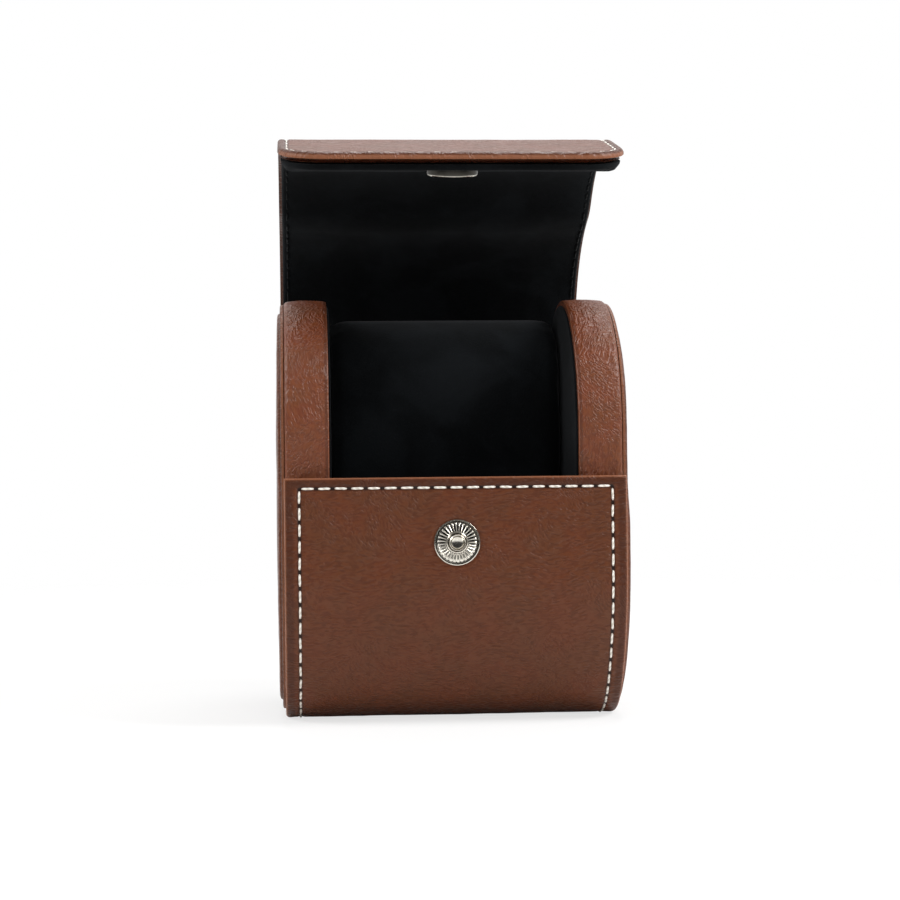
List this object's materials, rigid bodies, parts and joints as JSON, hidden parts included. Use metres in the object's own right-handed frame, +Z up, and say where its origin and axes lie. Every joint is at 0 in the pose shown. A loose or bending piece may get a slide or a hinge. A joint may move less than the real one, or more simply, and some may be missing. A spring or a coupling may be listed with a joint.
{
  "type": "watch travel case",
  "caption": "Leather travel case for a wrist watch, with round-topped end walls, a soft hinged lid, a snap flap and a lift-out velvet pillow.",
  "frame": {"origin": "middle of the flat bottom, on the surface that the case stands on", "axes": "+X to the viewer's right along the case's width, +Y to the back, +Z up"},
  "size_m": [0.0848, 0.1039, 0.1435],
  "materials": {
    "tan_leather": "satin",
    "black_velvet": "matte",
    "foam": "matte",
    "fibreboard": "matte",
    "white_thread": "matte",
    "nickel": "polished"
  },
  "bodies": {
    "case": {"body_leather": "tan_leather", "body_board": "fibreboard", "body_lining": "black_velvet", "body_thread": "white_thread", "left_wall_core": "foam", "right_wall_core": "foam", "left_rim_leather": "tan_leather", "right_rim_leather": "tan_leather", "left_side_panel": "tan_leather", "right_side_panel": "tan_leather", "left_wall_lining": "black_velvet", "right_wall_lining": "black_velvet", "base_cushion": "black_velvet", "snap_stud": "nickel", "stud_washer": "nickel"},
    "lid": {"lid_leather": "tan_leather", "lid_board": "fibreboard", "lid_lining": "black_velvet", "lid_thread": "white_thread"},
    "flap": {"flap_leather": "tan_leather", "flap_board": "fibreboard", "flap_lining": "black_velvet", "flap_thread": "white_thread", "snap_socket": "nickel", "socket_washer": "nickel"},
    "pillow": {"pillow_core": "foam", "pillow_cover": "black_velvet", "pillow_left_end": "black_velvet", "pillow_right_end": "black_velvet"}
  },
  "joints": [
    {"name": "lid_hinge", "type": "hinge", "parent": "case", "child": "lid", "pos_m": [0, 0.0381, 0.05], "axis": [-1, 0, 0], "range_deg": [-41, 49]},
    {"name": "flap_crease", "type": "hinge", "parent": "lid", "child": "flap", "pos_m": [0, 0.02765, 0.12872], "axis": [-1, 0, 0], "range_deg": [-35, 21]},
    {"name": "pillow_lift", "type": "slide", "parent": "case", "child": "pillow", "axis": [0, -0.8829, 0.4695], "range_m": [0, 0.13]}
  ]
}
